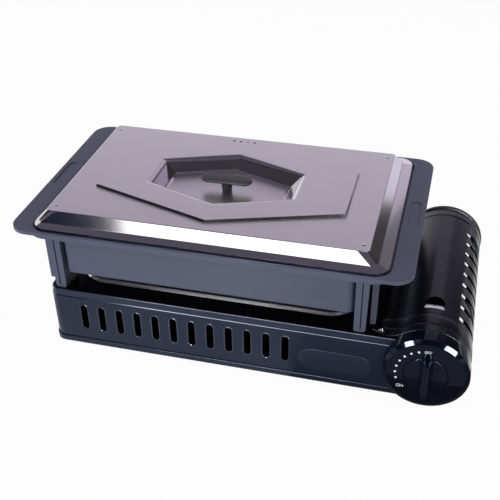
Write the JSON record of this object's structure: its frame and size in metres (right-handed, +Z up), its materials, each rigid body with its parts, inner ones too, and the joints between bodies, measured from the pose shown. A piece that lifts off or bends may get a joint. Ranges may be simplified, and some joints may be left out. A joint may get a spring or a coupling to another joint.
{
  "type": "portable gas grill",
  "caption": "Tabletop gas grill with a cartridge bay and dial on the right, a deep cast pan on legs and a bevelled steel lid with a T handle.",
  "frame": {"origin": "on the table, under the middle of the whole object's box", "axes": "+X along the base towards the cartridge bay on the right, +Y from the dial's front to the back, +Z up"},
  "size_m": [0.495, 0.276, 0.17],
  "materials": {
    "case_paint": "satin",
    "deck_enamel": "gloss",
    "bay_paint": "satin",
    "dial_plastic": "satin",
    "handle_plastic": "matte",
    "pan_coat": "satin",
    "lid_steel": "satin",
    "plated_steel": "polished",
    "zinc_steel": "satin",
    "valve_alloy": "satin",
    "jet_brass": "satin",
    "tray_enamel": "gloss",
    "foot_rubber": "matte",
    "piezo_plastic": "matte",
    "lead_jacket": "satin",
    "electrode_ceramic": "gloss"
  },
  "bodies": {
    "base": {"base_case": "case_paint", "bottom_plate": "case_paint", "rubber_feet": "foot_rubber", "plate_screws": "zinc_steel", "top_deck": "deck_enamel", "deck_screws": "plated_steel", "bay_divider": "zinc_steel", "cartridge_trough": "plated_steel", "front_bulkhead": "zinc_steel", "front_hood": "bay_paint", "dial_cap": "dial_plastic", "rear_cap": "bay_paint", "rear_cap_screws": "zinc_steel", "hinge_leaves": "zinc_steel", "hinge_pins": "zinc_steel", "regulator_body": "valve_alloy", "regulator_flange": "plated_steel", "regulator_screws": "zinc_steel", "gas_pipe": "zinc_steel", "gas_jet": "jet_brass", "mixing_manifold": "zinc_steel", "burner_front": "zinc_steel", "burner_back": "zinc_steel", "burner_guard_front": "plated_steel", "burner_guard_back": "plated_steel", "bracket_left": "zinc_steel", "bracket_right": "zinc_steel", "bracket_screws": "zinc_steel", "drip_tray": "tray_enamel", "piezo_igniter": "piezo_plastic", "ignition_lead": "lead_jacket", "spark_electrode": "electrode_ceramic"},
    "knob": {"control_knob": "dial_plastic", "valve_shaft": "zinc_steel"},
    "cover": {"cartridge_cover": "bay_paint", "cover_stiffener": "plated_steel"},
    "pan": {"pan": "pan_coat"},
    "lid": {"lid_shell": "lid_steel", "lid_handle": "handle_plastic", "handle_washer": "zinc_steel", "handle_screw": "zinc_steel"}
  },
  "joints": [
    {"name": "knob_turn", "type": "hinge", "parent": "base", "child": "knob", "pos_m": [0.203, -0.112, 0.0474], "axis": [0, -1, 0], "range_deg": [0, 130]},
    {"name": "cover_open", "type": "hinge", "parent": "base", "child": "cover", "pos_m": [0.2438, 0.025, 0.0265], "axis": [0, 1, 0], "range_deg": [0, 100]},
    {"name": "pan_lift", "type": "slide", "parent": "base", "child": "pan", "axis": [0, 0, 1], "range_m": [0, 0.12]},
    {"name": "lid_lift", "type": "slide", "parent": "pan", "child": "lid", "axis": [0, 0, 1], "range_m": [0, 0.08]}
  ]
}
